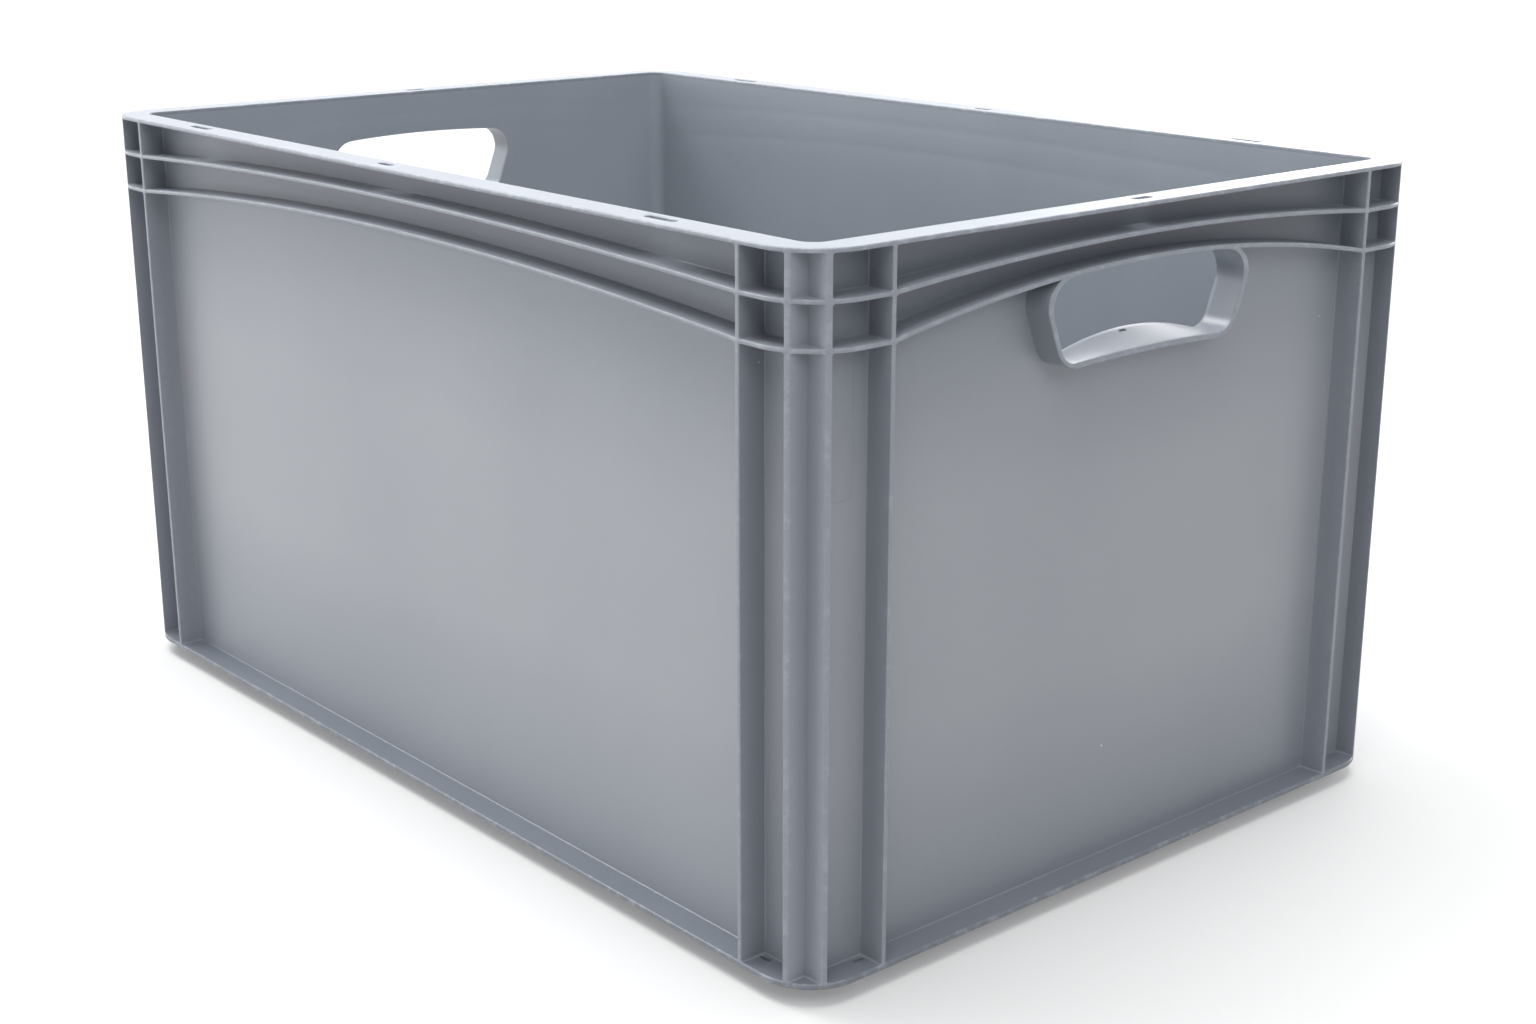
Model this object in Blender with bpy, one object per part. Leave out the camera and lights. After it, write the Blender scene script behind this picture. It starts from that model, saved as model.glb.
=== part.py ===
"""Stacking plastic crate, 600 x 400 x 320 mm, divided at the natural lines of its moulding.

Frame: origin at the centre of the foot's underside, X along the length, Y along the width, Z up.
The front is the long side at -Y, and the right end is the short side at +X.
"""

from collections import namedtuple
from math import cos, pi, radians, sin, sqrt, tan

import bmesh
import bpy

# Overall envelope, in metres
LENGTH = 0.600
WIDTH = 0.400
HEIGHT = 0.320
ENVELOPE_RADIUS = 0.028
GAP = 0.0003

# Plates and shells
WALL_INSET = 0.0135
WALL_THICKNESS = 0.0025
WALL_INNER_RADIUS = 0.008
RIM_THICKNESS = 0.002
FLANGE_THICKNESS = 0.003
FOOT_DROP = 0.008
FOOT_INSET = 0.018
FOOT_RADIUS = 0.008
FLOOR_THICKNESS = 0.003

# Stiffening rings: height of the middle of the plate above the foot's underside, at the outer ribs
RING_THICKNESS = 0.002
UPPER_RING_LEVEL = 0.2993
LOWER_RING_LEVEL = 0.2801
RING_STEPS = 24

# Vertical ribs
RIB_THICKNESS = 0.0023
CORNER_RIB_LAP = 0.0048

# Hand holes in the short sides. Radii are those at the ceiling and at the floor of the outline.
GRIP_FLOOR = 0.2531
GRIP_HALF_WIDTH_AT_FLOOR = 0.0563
GRIP_TOP_HALF_WIDTH = 0.056
GRIP_FLARE = 0.367
GRIP_THICKNESS = 0.0026
GRIP_OUTER_RADII = (0.0114, 0.0145)
GRIP_INNER_RADII = (0.0127, 0.0098)
GRIP_SADDLE_RISE = 0.0074
GRIP_LIP_RISE = 0.0010
GRIP_SECTIONS = 4
GRIP_ARC_STEPS = 6
GRIP_FLOOR_STEPS = 12

# Small openings. A slit is (length, width), and a rim slot (place along its side, length, width).
DRAIN_SLIT = (0.006, 0.0022)
DRAIN_FROM_RIB = 0.0055
DRAIN_FROM_WALL = 0.0032
RIM_SLOT_INSET = 0.0088
LONG_RIM_SLOTS = ((-0.200, 0.020, 0.0045), (-0.012, 0.012, 0.0040), (0.200, 0.020, 0.0045))
SHORT_RIM_SLOTS = ((0.0, 0.012, 0.0040),)

ARC_STEPS = 8
SMOOTH_ANGLE = radians(30)
PLASTIC = (0.270, 0.295, 0.330, 1.0)
PLASTIC_ROUGHNESS = 0.42

RIM_UNDERSIDE = HEIGHT - RIM_THICKNESS
FLANGE_TOP = FOOT_DROP + FLANGE_THICKNESS
WALL_INNER_INSET = WALL_INSET + WALL_THICKNESS
FOOT_INNER_INSET = FOOT_INSET + WALL_THICKNESS
FOOT_INNER_RADIUS = FOOT_RADIUS - WALL_THICKNESS

# A side seen from outside: run is half its length, reach its distance from the crate's centre,
# and rib_setback the distance of its outer ribs from its ends.
Side = namedtuple("Side", "name turn run reach rib_setback upper_arch lower_arch rim_slots has_grip")
SIDES = tuple(
    Side(name, radians(turn), LENGTH / 2, WIDTH / 2, 0.042, 0.0068, 0.0110, LONG_RIM_SLOTS, False)
    if name in ("front", "back")
    else Side(name, radians(turn), WIDTH / 2, LENGTH / 2, 0.045, 0.0075, 0.0156, SHORT_RIM_SLOTS, True)
    for name, turn in (("front", 0), ("right", 90), ("back", 180), ("left", 270))
)


def clear_scene():
    for item in list(bpy.data.objects):
        bpy.data.objects.remove(item, do_unlink=True)


def plastic(name):
    material = bpy.data.materials.new(name + "_polypropylene")
    material.use_nodes = True
    shader = material.node_tree.nodes["Principled BSDF"]
    shader.inputs["Base Color"].default_value = PLASTIC
    shader.inputs["Roughness"].default_value = PLASTIC_ROUGHNESS
    shader.inputs["Metallic"].default_value = 0.0
    return material


def loft(name, sections, turn=0.0):
    """One closed body through closed sections that all have the same number of points."""
    body = bmesh.new()
    loops = [[body.verts.new(point) for point in section] for section in sections]
    for lower, upper in zip(loops, loops[1:]):
        for index, vertex in enumerate(lower):
            after = (index + 1) % len(lower)
            body.faces.new((vertex, lower[after], upper[after], upper[index]))
    body.faces.new(list(reversed(loops[0])))
    body.faces.new(loops[-1])
    bmesh.ops.recalc_face_normals(body, faces=body.faces)
    if body.calc_volume(signed=True) < 0:
        bmesh.ops.reverse_faces(body, faces=body.faces)
    mesh = bpy.data.meshes.new(name)
    body.to_mesh(mesh)
    body.free()
    mesh.shade_smooth()
    mesh.set_sharp_from_angle(angle=SMOOTH_ANGLE)
    item = bpy.data.objects.new(name, mesh)
    item.rotation_euler.z = turn
    bpy.context.collection.objects.link(item)
    return item


def named_part(item):
    item.data.materials.append(plastic(item.name))
    return item


def cutter(name, sections, turn=0.0):
    item = loft(name, sections, turn)
    item.hide_render = True
    item.display_type = "WIRE"
    return item


def cut(item, tool):
    opening = item.modifiers.new(tool.name, "BOOLEAN")
    opening.operation = "DIFFERENCE"
    opening.solver = "EXACT"
    opening.object = tool


def arc(centre_x, centre_y, radius, start, end, steps):
    turns = [start + (end - start) * step / steps for step in range(steps + 1)]
    return [(centre_x + radius * cos(turn), centre_y + radius * sin(turn)) for turn in turns]


def side_edge(side, inset, radius):
    """A side's line at an inset from the envelope, in plan, from mitre to mitre at the corners.

    A sharp corner gets as many points as a round one, so that any two edges can be bridged.
    """
    run = side.run - inset
    reach = side.reach - inset
    if radius:
        left = arc(-run + radius, -reach + radius, radius, pi * 5 / 4, pi * 3 / 2, ARC_STEPS)
    else:
        spacing = WALL_INNER_RADIUS / ARC_STEPS
        left = [(-run + step * spacing, -reach) for step in range(ARC_STEPS + 1)]
    right = [(-x, y) for x, y in reversed(left)]
    edge = left + right
    edge[0] = (edge[0][0] + GAP / sqrt(2), edge[0][1])
    edge[-1] = (edge[-1][0] - GAP / sqrt(2), edge[-1][1])
    return edge


def side_band(name, side, outer, inner, low, high):
    """A band along one side, mitred at its corners; outer and inner are (inset, radius)."""
    sections = [
        [(*outside, low), (*outside, high), (*inside, high), (*inside, low)]
        for outside, inside in zip(side_edge(side, *outer), side_edge(side, *inner))
    ]
    return named_part(loft(name, sections, side.turn))


def upright(name, side, plan, low, high):
    return loft(name, [[(x, y, z) for x, y in plan] for z in (low, high)], side.turn)


def slit_outline(x, y, length, width):
    """An oblong with round ends, along x."""
    half = (length - width) / 2
    right = arc(x + half, y, width / 2, -pi / 2, pi / 2, ARC_STEPS)
    left = arc(x - half, y, width / 2, pi / 2, pi * 3 / 2, ARC_STEPS)
    return right + left


def cut_slit(item, side, number, place, size, low, high):
    outline = slit_outline(*place, *size)
    tool = cutter(
        f"{item.name}_slit_{number}",
        [[(x, y, z) for x, y in outline] for z in (low - FLANGE_THICKNESS, high + FLANGE_THICKNESS)],
        side.turn,
    )
    cut(item, tool)


def rim(side):
    band = side_band(
        side.name + "_rim", side, (0.0, ENVELOPE_RADIUS), (WALL_INNER_INSET, WALL_INNER_RADIUS),
        RIM_UNDERSIDE, HEIGHT,
    )
    for number, (place, length, width) in enumerate(side.rim_slots):
        centre = (place, -side.reach + RIM_SLOT_INSET)
        cut_slit(band, side, number, centre, (length, width), RIM_UNDERSIDE, HEIGHT)


def base_flange(side):
    band = side_band(
        side.name + "_base_flange", side, (0.0, ENVELOPE_RADIUS), (FOOT_INNER_INSET, FOOT_INNER_RADIUS),
        FOOT_DROP, FLANGE_TOP,
    )
    from_centre = side.run - side.rib_setback + DRAIN_FROM_RIB
    inward = -side.reach + WALL_INSET - DRAIN_FROM_WALL
    for number, place in enumerate((-from_centre, from_centre)):
        cut_slit(band, side, number, (place, inward), DRAIN_SLIT, FOOT_DROP, FLANGE_TOP)


def foot_rail(side):
    side_band(
        side.name + "_foot_rail", side, (FOOT_INSET, FOOT_RADIUS), (FOOT_INNER_INSET, FOOT_INNER_RADIUS),
        0.0, FOOT_DROP - GAP,
    )


def wall(side):
    shell = side_band(
        side.name + "_wall", side, (WALL_INSET, 0.0), (WALL_INNER_INSET, WALL_INNER_RADIUS),
        FLANGE_TOP + GAP, RIM_UNDERSIDE - GAP,
    )
    if side.has_grip:
        cut(shell, grip_cutter(side))


def floor_panel():
    inset = FOOT_INNER_INSET + GAP
    radius = FOOT_INNER_RADIUS - GAP
    centre_x = LENGTH / 2 - inset - radius
    centre_y = WIDTH / 2 - inset - radius
    outline = []
    for quarter, (sign_x, sign_y) in enumerate(((1, 1), (-1, 1), (-1, -1), (1, -1))):
        start = quarter * pi / 2
        outline += arc(sign_x * centre_x, sign_y * centre_y, radius, start, start + pi / 2, ARC_STEPS)
    named_part(loft("floor_panel", [[(x, y, z) for x, y in outline] for z in (0.0, FLOOR_THICKNESS)]))


def rib_half_run(side):
    """Distance of an outer rib's mid-plane from the side's middle."""
    return side.run - side.rib_setback


def ring_level(side, level, arch, along):
    """Height of the middle of a ring's plate at a distance along its side."""
    return level + arch * (1 - (along / rib_half_run(side)) ** 2)


def side_ring(side, name, level, arch):
    """The arched stretch of a ring between the side's two outer ribs."""
    half = rib_half_run(side) - RIB_THICKNESS / 2 - GAP
    outside = -side.reach
    inside = -side.reach + WALL_INSET - GAP
    sections = []
    for step in range(RING_STEPS + 1):
        x = half * (2 * step / RING_STEPS - 1)
        middle = ring_level(side, level, arch, x)
        low = middle - RING_THICKNESS / 2
        high = middle + RING_THICKNESS / 2
        sections.append([(x, outside, low), (x, outside, high), (x, inside, high), (x, inside, low)])
    named_part(loft(f"{side.name}_{name}_ring", sections, side.turn))


def corner_ring(side, after, name, level):
    """The flat stretch round the corner at a side's right end, slotted for the two corner ribs."""
    run = side.run
    reach = side.reach
    face = WALL_INSET - GAP
    slot_end = WALL_INSET - CORNER_RIB_LAP
    slot_far = WALL_INNER_INSET + GAP
    start = run - side.rib_setback + RIB_THICKNESS / 2 + GAP
    end = -reach + after.rib_setback - RIB_THICKNESS / 2 - GAP
    centre = (run - ENVELOPE_RADIUS, -reach + ENVELOPE_RADIUS)
    plan = [(start, -reach)]
    plan += arc(*centre, ENVELOPE_RADIUS, -pi / 2, 0.0, 2 * ARC_STEPS)
    plan += [
        (run, end),
        (run - face, end),
        (run - face, -reach + slot_far),
        (run - slot_end, -reach + slot_far),
        (run - slot_end, -reach + face),
        (run - face, -reach + face),
        (run - face, -reach + slot_end),
        (run - slot_far, -reach + slot_end),
        (run - slot_far, -reach + face),
        (start, -reach + face),
    ]
    low = level - RING_THICKNESS / 2
    high = level + RING_THICKNESS / 2
    named_part(upright(f"{side.name}_{after.name}_corner_{name}_ring", side, plan, low, high))


def outer_rib(side, hand, sign):
    """A full-depth upright plate from the base flange to the rim."""
    middle = sign * rib_half_run(side)
    near = -side.reach
    far = -side.reach + WALL_INSET - GAP
    left = middle - RIB_THICKNESS / 2
    right = middle + RIB_THICKNESS / 2
    plan = [(left, near), (right, near), (right, far), (left, far)]
    name = f"{side.name}_outer_rib_{hand}"
    named_part(upright(name, side, plan, FLANGE_TOP + GAP, RIM_UNDERSIDE - GAP))


def corner_rib(side, hand, sign):
    """The next side's wall carried on past the corner, with a lap cut where each ring crosses it."""
    outer = sign * (side.run - WALL_INSET)
    inner = sign * (side.run - WALL_INNER_INSET + GAP)
    from_arc_centre = ENVELOPE_RADIUS - WALL_INSET
    arc_rise = sqrt(ENVELOPE_RADIUS**2 - from_arc_centre**2)
    near = -side.reach + ENVELOPE_RADIUS - arc_rise
    far = -side.reach + WALL_INSET - GAP
    lap = -side.reach + WALL_INSET - CORNER_RIB_LAP + GAP
    lap_half = RING_THICKNESS / 2 + GAP
    profile = [(far, FLANGE_TOP + GAP), (near, FLANGE_TOP + GAP)]
    for level in (LOWER_RING_LEVEL, UPPER_RING_LEVEL):
        low = level - lap_half
        high = level + lap_half
        profile += [(near, low), (lap, low), (lap, high), (near, high)]
    profile += [(near, RIM_UNDERSIDE - GAP), (far, RIM_UNDERSIDE - GAP)]
    sections = [[(x, y, z) for y, z in profile] for x in (inner, outer)]
    named_part(loft(f"{side.name}_corner_rib_{hand}", sections, side.turn))


def grip_ceiling(side, along):
    """Underside of the lower ring, which closes the hand hole at its top."""
    return ring_level(side, LOWER_RING_LEVEL, side.lower_arch, along) - RING_THICKNESS / 2 - GAP


def grip_rise(depth):
    """How far the middle of the hand hole's floor stands up at a depth in from the envelope."""
    return GRIP_LIP_RISE + (GRIP_SADDLE_RISE - GRIP_LIP_RISE) * min(1.0, depth / WALL_INNER_INSET)


def grip_path(side, inset, radii, depth):
    """An open U from top left, down, along the floor and up to top right, as (x, z) points."""
    top_radius, floor_radius = radii
    top_z = grip_ceiling(side, GRIP_TOP_HALF_WIDTH) - top_radius
    floor_z = GRIP_FLOOR + inset + floor_radius

    def arc_centre(z, radius):
        half_width = GRIP_HALF_WIDTH_AT_FLOOR + (z - GRIP_FLOOR) * tan(GRIP_FLARE)
        return half_width - (inset + radius) / cos(GRIP_FLARE)

    top = arc(arc_centre(top_z, top_radius), top_z, top_radius, pi / 2, -GRIP_FLARE, GRIP_ARC_STEPS)
    floor_x = arc_centre(floor_z, floor_radius)
    bottom = arc(floor_x, floor_z, floor_radius, -GRIP_FLARE, -pi / 2, GRIP_ARC_STEPS)
    right = top + bottom
    floor = []
    for step in range(1, GRIP_FLOOR_STEPS):
        x = floor_x * (2 * step / GRIP_FLOOR_STEPS - 1)
        floor.append((x, GRIP_FLOOR + inset + grip_rise(depth) * (1 - (x / floor_x) ** 2)))
    return [(-x, z) for x, z in right] + floor + list(reversed(right))


def grip_collar(side):
    """The U-shaped band round the hand hole, whose floor rises in the middle towards the wall."""
    sections = []
    for step in range(GRIP_SECTIONS + 1):
        depth = (WALL_INSET - GAP) * step / GRIP_SECTIONS
        outside = grip_path(side, 0.0, GRIP_OUTER_RADII, depth)
        inside = grip_path(side, GRIP_THICKNESS, GRIP_INNER_RADII, depth)
        loop = outside + list(reversed(inside))
        sections.append([(x, -side.reach + depth, z) for x, z in loop])
    named_part(loft(side.name + "_grip_collar", sections, side.turn))


def grip_cutter(side):
    """The hand hole through the wall, up to the lower ring's arched underside."""
    sections = []
    for depth in (WALL_INSET - 2 * GAP, WALL_INNER_INSET, WALL_INNER_INSET + WALL_THICKNESS):
        path = grip_path(side, GRIP_THICKNESS, GRIP_INNER_RADII, depth)
        top_x = path[-1][0]
        ceiling = []
        for step in range(1, GRIP_FLOOR_STEPS):
            x = top_x * (1 - 2 * step / GRIP_FLOOR_STEPS)
            ceiling.append((x, grip_ceiling(side, x)))
        sections.append([(x, -side.reach + depth, z) for x, z in path + ceiling])
    return cutter(side.name + "_hand_hole", sections, side.turn)


def build():
    clear_scene()
    floor_panel()
    for side, after in zip(SIDES, SIDES[1:] + SIDES[:1]):
        foot_rail(side)
        base_flange(side)
        wall(side)
        rim(side)
        side_ring(side, "upper", UPPER_RING_LEVEL, side.upper_arch)
        side_ring(side, "lower", LOWER_RING_LEVEL, side.lower_arch)
        corner_ring(side, after, "upper", UPPER_RING_LEVEL)
        corner_ring(side, after, "lower", LOWER_RING_LEVEL)
        for hand, sign in (("left", -1), ("right", 1)):
            outer_rib(side, hand, sign)
            corner_rib(side, hand, sign)
        if side.has_grip:
            grip_collar(side)


build()
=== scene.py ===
"""Looks of the stacking plastic crate: one rounded, filleted piece for each CAD node.

Frame: origin at the centre of the foot's underside, X along the length, Y along the width, Z up.
A side is worked out as seen from outside: s runs along it, depth goes in from the envelope.
"""

from collections import namedtuple
from math import cos, pi, radians, sin, sqrt, tan
from random import Random

import bmesh
import bpy
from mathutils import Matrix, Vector


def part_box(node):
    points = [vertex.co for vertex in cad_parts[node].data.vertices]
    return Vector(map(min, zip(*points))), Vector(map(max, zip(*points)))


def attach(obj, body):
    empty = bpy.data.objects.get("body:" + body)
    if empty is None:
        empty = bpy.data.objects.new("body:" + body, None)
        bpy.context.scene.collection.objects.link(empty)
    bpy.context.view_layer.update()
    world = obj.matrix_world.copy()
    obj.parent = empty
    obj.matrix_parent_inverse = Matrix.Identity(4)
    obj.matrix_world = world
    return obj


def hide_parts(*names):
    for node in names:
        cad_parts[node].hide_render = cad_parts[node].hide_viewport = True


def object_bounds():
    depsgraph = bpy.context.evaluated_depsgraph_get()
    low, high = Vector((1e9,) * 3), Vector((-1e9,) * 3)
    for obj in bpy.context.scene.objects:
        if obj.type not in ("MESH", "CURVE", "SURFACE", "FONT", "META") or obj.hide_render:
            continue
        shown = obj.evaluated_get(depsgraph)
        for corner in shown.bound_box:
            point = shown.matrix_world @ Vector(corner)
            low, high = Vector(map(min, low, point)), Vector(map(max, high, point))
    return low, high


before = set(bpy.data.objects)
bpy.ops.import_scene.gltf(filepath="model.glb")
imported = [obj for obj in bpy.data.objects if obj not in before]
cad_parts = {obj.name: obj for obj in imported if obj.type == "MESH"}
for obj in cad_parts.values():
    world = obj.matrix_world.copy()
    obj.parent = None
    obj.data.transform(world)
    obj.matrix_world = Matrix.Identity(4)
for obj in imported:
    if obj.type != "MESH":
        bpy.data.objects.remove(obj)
CAD_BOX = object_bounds()
BODY = "root"

# Sizes of the CAD, in metres: read from its boxes, or repeated from the part where no box shows them
RUN = CAD_BOX[1].x
REACH = CAD_BOX[1].y
RIM_LOW, RIM_HIGH = (corner.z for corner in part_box("front_rim"))
FLANGE_LOW, FLANGE_HIGH = (corner.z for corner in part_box("front_base_flange"))
FLOOR_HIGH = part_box("floor_panel")[1].z
WALL_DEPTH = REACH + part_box("front_wall")[0].y
WALL_THICKNESS = 0.0025
WALL_INNER_DEPTH = WALL_DEPTH + WALL_THICKNESS
ENVELOPE_RADIUS = 0.028
INNER_RADIUS = 0.008
FOOT_DEPTH = 0.018
FOOT_INNER_DEPTH = 0.0205
FOOT_RADIUS = 0.008

# Ribs: places of the (outer, corner) ribs along a long and a short side, and how thick and deep they are
LONG_RIBS = (RUN - 0.042, RUN - 0.0157)
SHORT_RIBS = (REACH - 0.045, REACH - 0.0143)
OUTER_RIB_HALF = 0.00115
CORNER_RIB_HALF = 0.00120
CORNER_RIB_ROOT = WALL_DEPTH + 0.0022

# Roundings, fillets and draft of the moulding
EDGE_RADIUS = 0.0006
RIM_EDGE_RADIUS = 0.0008
FLANGE_EDGE_RADIUS = 0.0013
WALL_CORNER_RADIUS = 0.0020
FILLET = 0.0005
CROSSING_FILLET = 0.0009
HOLE_FILLET = 0.0001
DRAFT = 0.00015

# How far a root sinks into the next piece, and how far the tips of ribs and rings stand back
EMBED = 0.0004
RIB_SETBACK = 0.00003
RING_SETBACK = 0.00006

# Steps in a rounded edge, a flare and a corner's arc, and along and up the straight stretches
ROUND_STEPS = 4
FLARE_STEPS = 3
ARC_STEPS = 28
STRAIGHT_STEPS = 48
WALL_STEPS = 22
RING_STEPS = 72
CORNER_RING_STEPS = 6

# Wear, from 0 for untouched to 1 for rubbed
WORN_WIDTH = 0.0012
RIM_WEAR = 0.4
FLANK_WEAR = 0.4
SLIT_WEAR = 0.6
MOUTH_WEAR = 0.5
INSERT_RIDGE_WEAR = 0.8

# Walls: the outward bow of a panel, and the sink lines that the rings leave on the inside
PANEL_BOW = 0.0005
SINK_DEPTH = 0.00008
SINK_HALF_WIDTH = 0.0042
SINK_STEPS = 6

# Outline that a mould insert leaves on the short sides, as (s, z), and chips: (s, depth, z, size)
INSERT_PATH = ((-0.1852, 0.2150), (-0.1685, 0.2153), (-0.1650, 0.2162), (-0.1641, 0.2190), (-0.1638, 0.2810))
INSERT_HALF_WIDTH = 0.00016
INSERT_HEIGHT = 0.00013
CHIPS = {
    "front_outer_rib_right": (0.2572, 0.0006, 0.1663, 0.0011),
    "front_corner_rib_right": (0.2835, 0.0035, 0.1525, 0.0012),
}
CHIP_SEED = 5
CHIP_RINGS = 8
CHIP_SPOKES = 9
CHIP_RAGGED = (0.35, 0.62)
CHIP_FLATNESS = 0.7
CHIP_SLENDERNESS = 2

# Hand holes
GRIP_FLOOR = 0.2531
GRIP_HALF_WIDTH = 0.0563
GRIP_FLARE = 0.367
GRIP_THICKNESS = 0.0026
GRIP_OUTER_RADII = (0.0114, 0.0145)
GRIP_INNER_RADII = (0.0127, 0.0098)
GRIP_LIP_RISE = 0.0010
GRIP_SADDLE_RISE = 0.0074
GRIP_MOUTH = 0.0009
GRIP_MEETING = radians(50)
GRIP_CORNER_STEPS = 10
GRIP_FLOOR_STEPS = 28
GRIP_DEPTH_STEPS = 12
GRIP_SLIT = (-0.004, 0.0128, 0.0046, 0.0016)
GRIP_SLIT_HEIGHT = 0.012
HOLE_OVERRUN = 0.003

# Small openings: (s, depth, length, width)
LONG_SLOTS = (
    (-0.200, 0.0088, 0.020, 0.0045),
    (-0.012, 0.0088, 0.012, 0.0040),
    (0.200, 0.0088, 0.020, 0.0045),
)
SHORT_SLOTS = ((0.0, 0.0088, 0.012, 0.0040),)
DRAIN_SLIT = (0.006, 0.0022)
DRAIN_FROM_RIB = 0.0055
DRAIN_DEPTH = 0.0103
MOUTH = 0.0004
SLIT_OVERRUN = 0.002
SLIT_END_STEPS = 12

# How far the floor panel's top face stands back from its edge, and the angle that stays sharp
FLOOR_TOP_PULL = 0.0015
SMOOTH_ANGLE = radians(38)

# Studio: a pale floor that glows more from one distance to another, a sky, softboxes and the camera
FLOOR_SIZE = 30.0
FLOOR_DROP = 0.00005
FLOOR_COLOUR = (0.45, 0.45, 0.45, 1.0)
FLOOR_ROUGHNESS = 0.9
FLOOR_GLOW_DISTANCES = (1.8, 5.0)
FLOOR_GLOWS = (0.2, 1.0)
SKY_HEIGHTS = (0.06, 0.22)
SKY_GLOWS = (0.42, 0.12)
SKY_TINT = (0.90, 0.97, 1.08, 1.0)
WHITE = (1.0, 1.0, 1.0, 1.0)
SOFTBOXES = (
    # name, place, aim, size, watts
    ("key_left_softbox", (-2.4, -2.2, 1.0), (-0.1, -0.1, 0.15), (1.6, 1.4), 26.0),
    ("low_left_softbox", (-3.2, -0.6, 0.6), (-0.3, -0.1, 0.15), (1.6, 1.0), 18.0),
    ("low_front_softbox", (-0.4, -2.6, 0.35), (0.0, -0.2, 0.2), (2.4, 0.6), 13.0),
    ("right_softbox", (3.2, -0.4, 2.3), (0.2, 0.0, 0.15), (2.2, 1.8), 43.0),
    ("high_near_softbox", (1.4, -1.6, 2.6), (0.0, 0.1, 0.2), (1.4, 1.4), 26.0),
    ("high_left_softbox", (-2.0, -0.6, 2.6), (0.0, 0.1, 0.2), (1.4, 1.4), 76.0),
    ("top_softbox", (0.0, 0.0, 2.8), (0.0, 0.0, 0.1), (2.4, 2.4), 112.0),
    ("back_softbox", (-2.7, 3.6, 1.4), (0.0, 0.0, 0.2), (6.5, 2.6), 87.0),
    ("back_right_softbox", (-0.8, 4.2, 1.4), (0.2, 0.0, 0.2), (4.0, 2.6), 172.0),
)
CAMERA_PLACE = (0.90707, -0.74252, 0.46464)
CAMERA_DOWN = 0.292
CAMERA_HEADING = 0.86
LENS = 51.89
SENSOR_WIDTH = 36.0
CLIP_START = 0.05
CLIP_END = 60.0

# Plastic, in linear colour
PLASTIC_DARK = (0.183, 0.200, 0.228, 1.0)
PLASTIC_LIGHT = (0.209, 0.227, 0.256, 1.0)
# Painted shade: the base flange and foot get a darker copy of the plastic
BASE_SHADED_DARK = (0.130, 0.144, 0.168, 1.0)
BASE_SHADED_LIGHT = (0.149, 0.163, 0.188, 1.0)
# Painted light: the inside faces and the floor panel get a lighter copy of the plastic
INSIDE_LIT_DARK = (0.235, 0.259, 0.290, 1.0)
INSIDE_LIT_LIGHT = (0.266, 0.291, 0.325, 1.0)
PLASTIC_SCUFFED = (0.36, 0.385, 0.42, 1.0)
# Painted light: the panels turn towards this pale colour in a belt that rises over the first heights and falls
# over the second
PAINTED_LIGHT_COLOUR = (0.42, 0.41, 0.41, 1.0)
PAINTED_LIGHT_FROM = (0.020, 0.110)
PAINTED_LIGHT_UP_TO = (0.200, 0.290)
# Painted shade: the panels darken towards this colour near the rim, over these heights and up to this strength
PAINTED_SHADE_COLOUR = (0.050, 0.060, 0.085, 1.0)
PAINTED_SHADE_FROM = (0.283, 0.298)
PAINTED_SHADE_STRENGTH = 0.31
DUST_COLOUR = (0.60, 0.61, 0.62, 1.0)
DUST_SCALE = 22.0
DUST_REACH = 0.013
DUST_CORE = 0.6

# Textures: (scale, detail) of each noise, the stretch of its values that counts, and what it adds
NO_STRETCH = (1.0, 1.0, 1.0)
NOISE_MIDDLE = (0.3, 0.7)
CLOUDS = (5.0, 2.0)
CLOUD_SHARE = 0.42
FLOW = (16.0, 3.0)
FLOW_STRETCH = (1.0, 1.0, 0.22)
FLOW_SHARE = 0.33
PIGMENT = (900.0, 1.0)
PIGMENT_SHARE = 0.25
# Mottle of the painted light on the panels, and how far it spreads
PAINTED_LIGHT_MOTTLE = (7.0, 4.0)
PAINTED_LIGHT_SPREAD = (0.8, 1.2)
SCRAPES = (170.0, 4.0)
SCRAPE_NOISE_ROUGHNESS = 0.65
SCRAPE_RANGE = (0.5, 0.66)
SATIN_ROUGHNESS = (0.33, 0.39)
PIGMENT_ROUGHNESS = (-0.03, 0.03)
SCUFF_ROUGHNESS = 0.22

# Bumps: (scale, detail) of the noise, then (strength, depth in metres)
GRAIN = (2400.0, 2.0)
GRAIN_BUMP = (0.30, 0.00006)
SAG = (11.0, 1.0)
SAG_BUMP = (0.5, 0.0007)

# How strongly a kind of piece is scuffed on its worn edges, and how strongly painted light brightens the
# middle of the panels
LIGHT_SCUFFS = 0.25
BASE_SCUFFS = 0.4
HANDLED_SCUFFS = 0.45
PANEL_PAINTED_LIGHT = 0.22

# The four sides: run is half a side's length, reach how far it stands from the crate's middle
Side = namedtuple("Side", "name turn run reach rib corner_rib slots has_grip")
SIDES = (
    Side("front", 0.0, RUN, REACH, *LONG_RIBS, LONG_SLOTS, False),
    Side("right", pi / 2, REACH, RUN, *SHORT_RIBS, SHORT_SLOTS, True),
    Side("back", pi, RUN, REACH, *LONG_RIBS, LONG_SLOTS, False),
    Side("left", pi * 3 / 2, REACH, RUN, *SHORT_RIBS, SHORT_SLOTS, True),
)


def put(side, s, depth, z):
    """A point of the row frame from a side's own coordinates."""
    y = -side.reach + depth
    return (s * cos(side.turn) - y * sin(side.turn), s * sin(side.turn) + y * cos(side.turn), z)


def quarter(steps=ROUND_STEPS):
    """Angles from 0 to a quarter turn."""
    return [pi / 2 * step / steps for step in range(steps + 1)]


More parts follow.
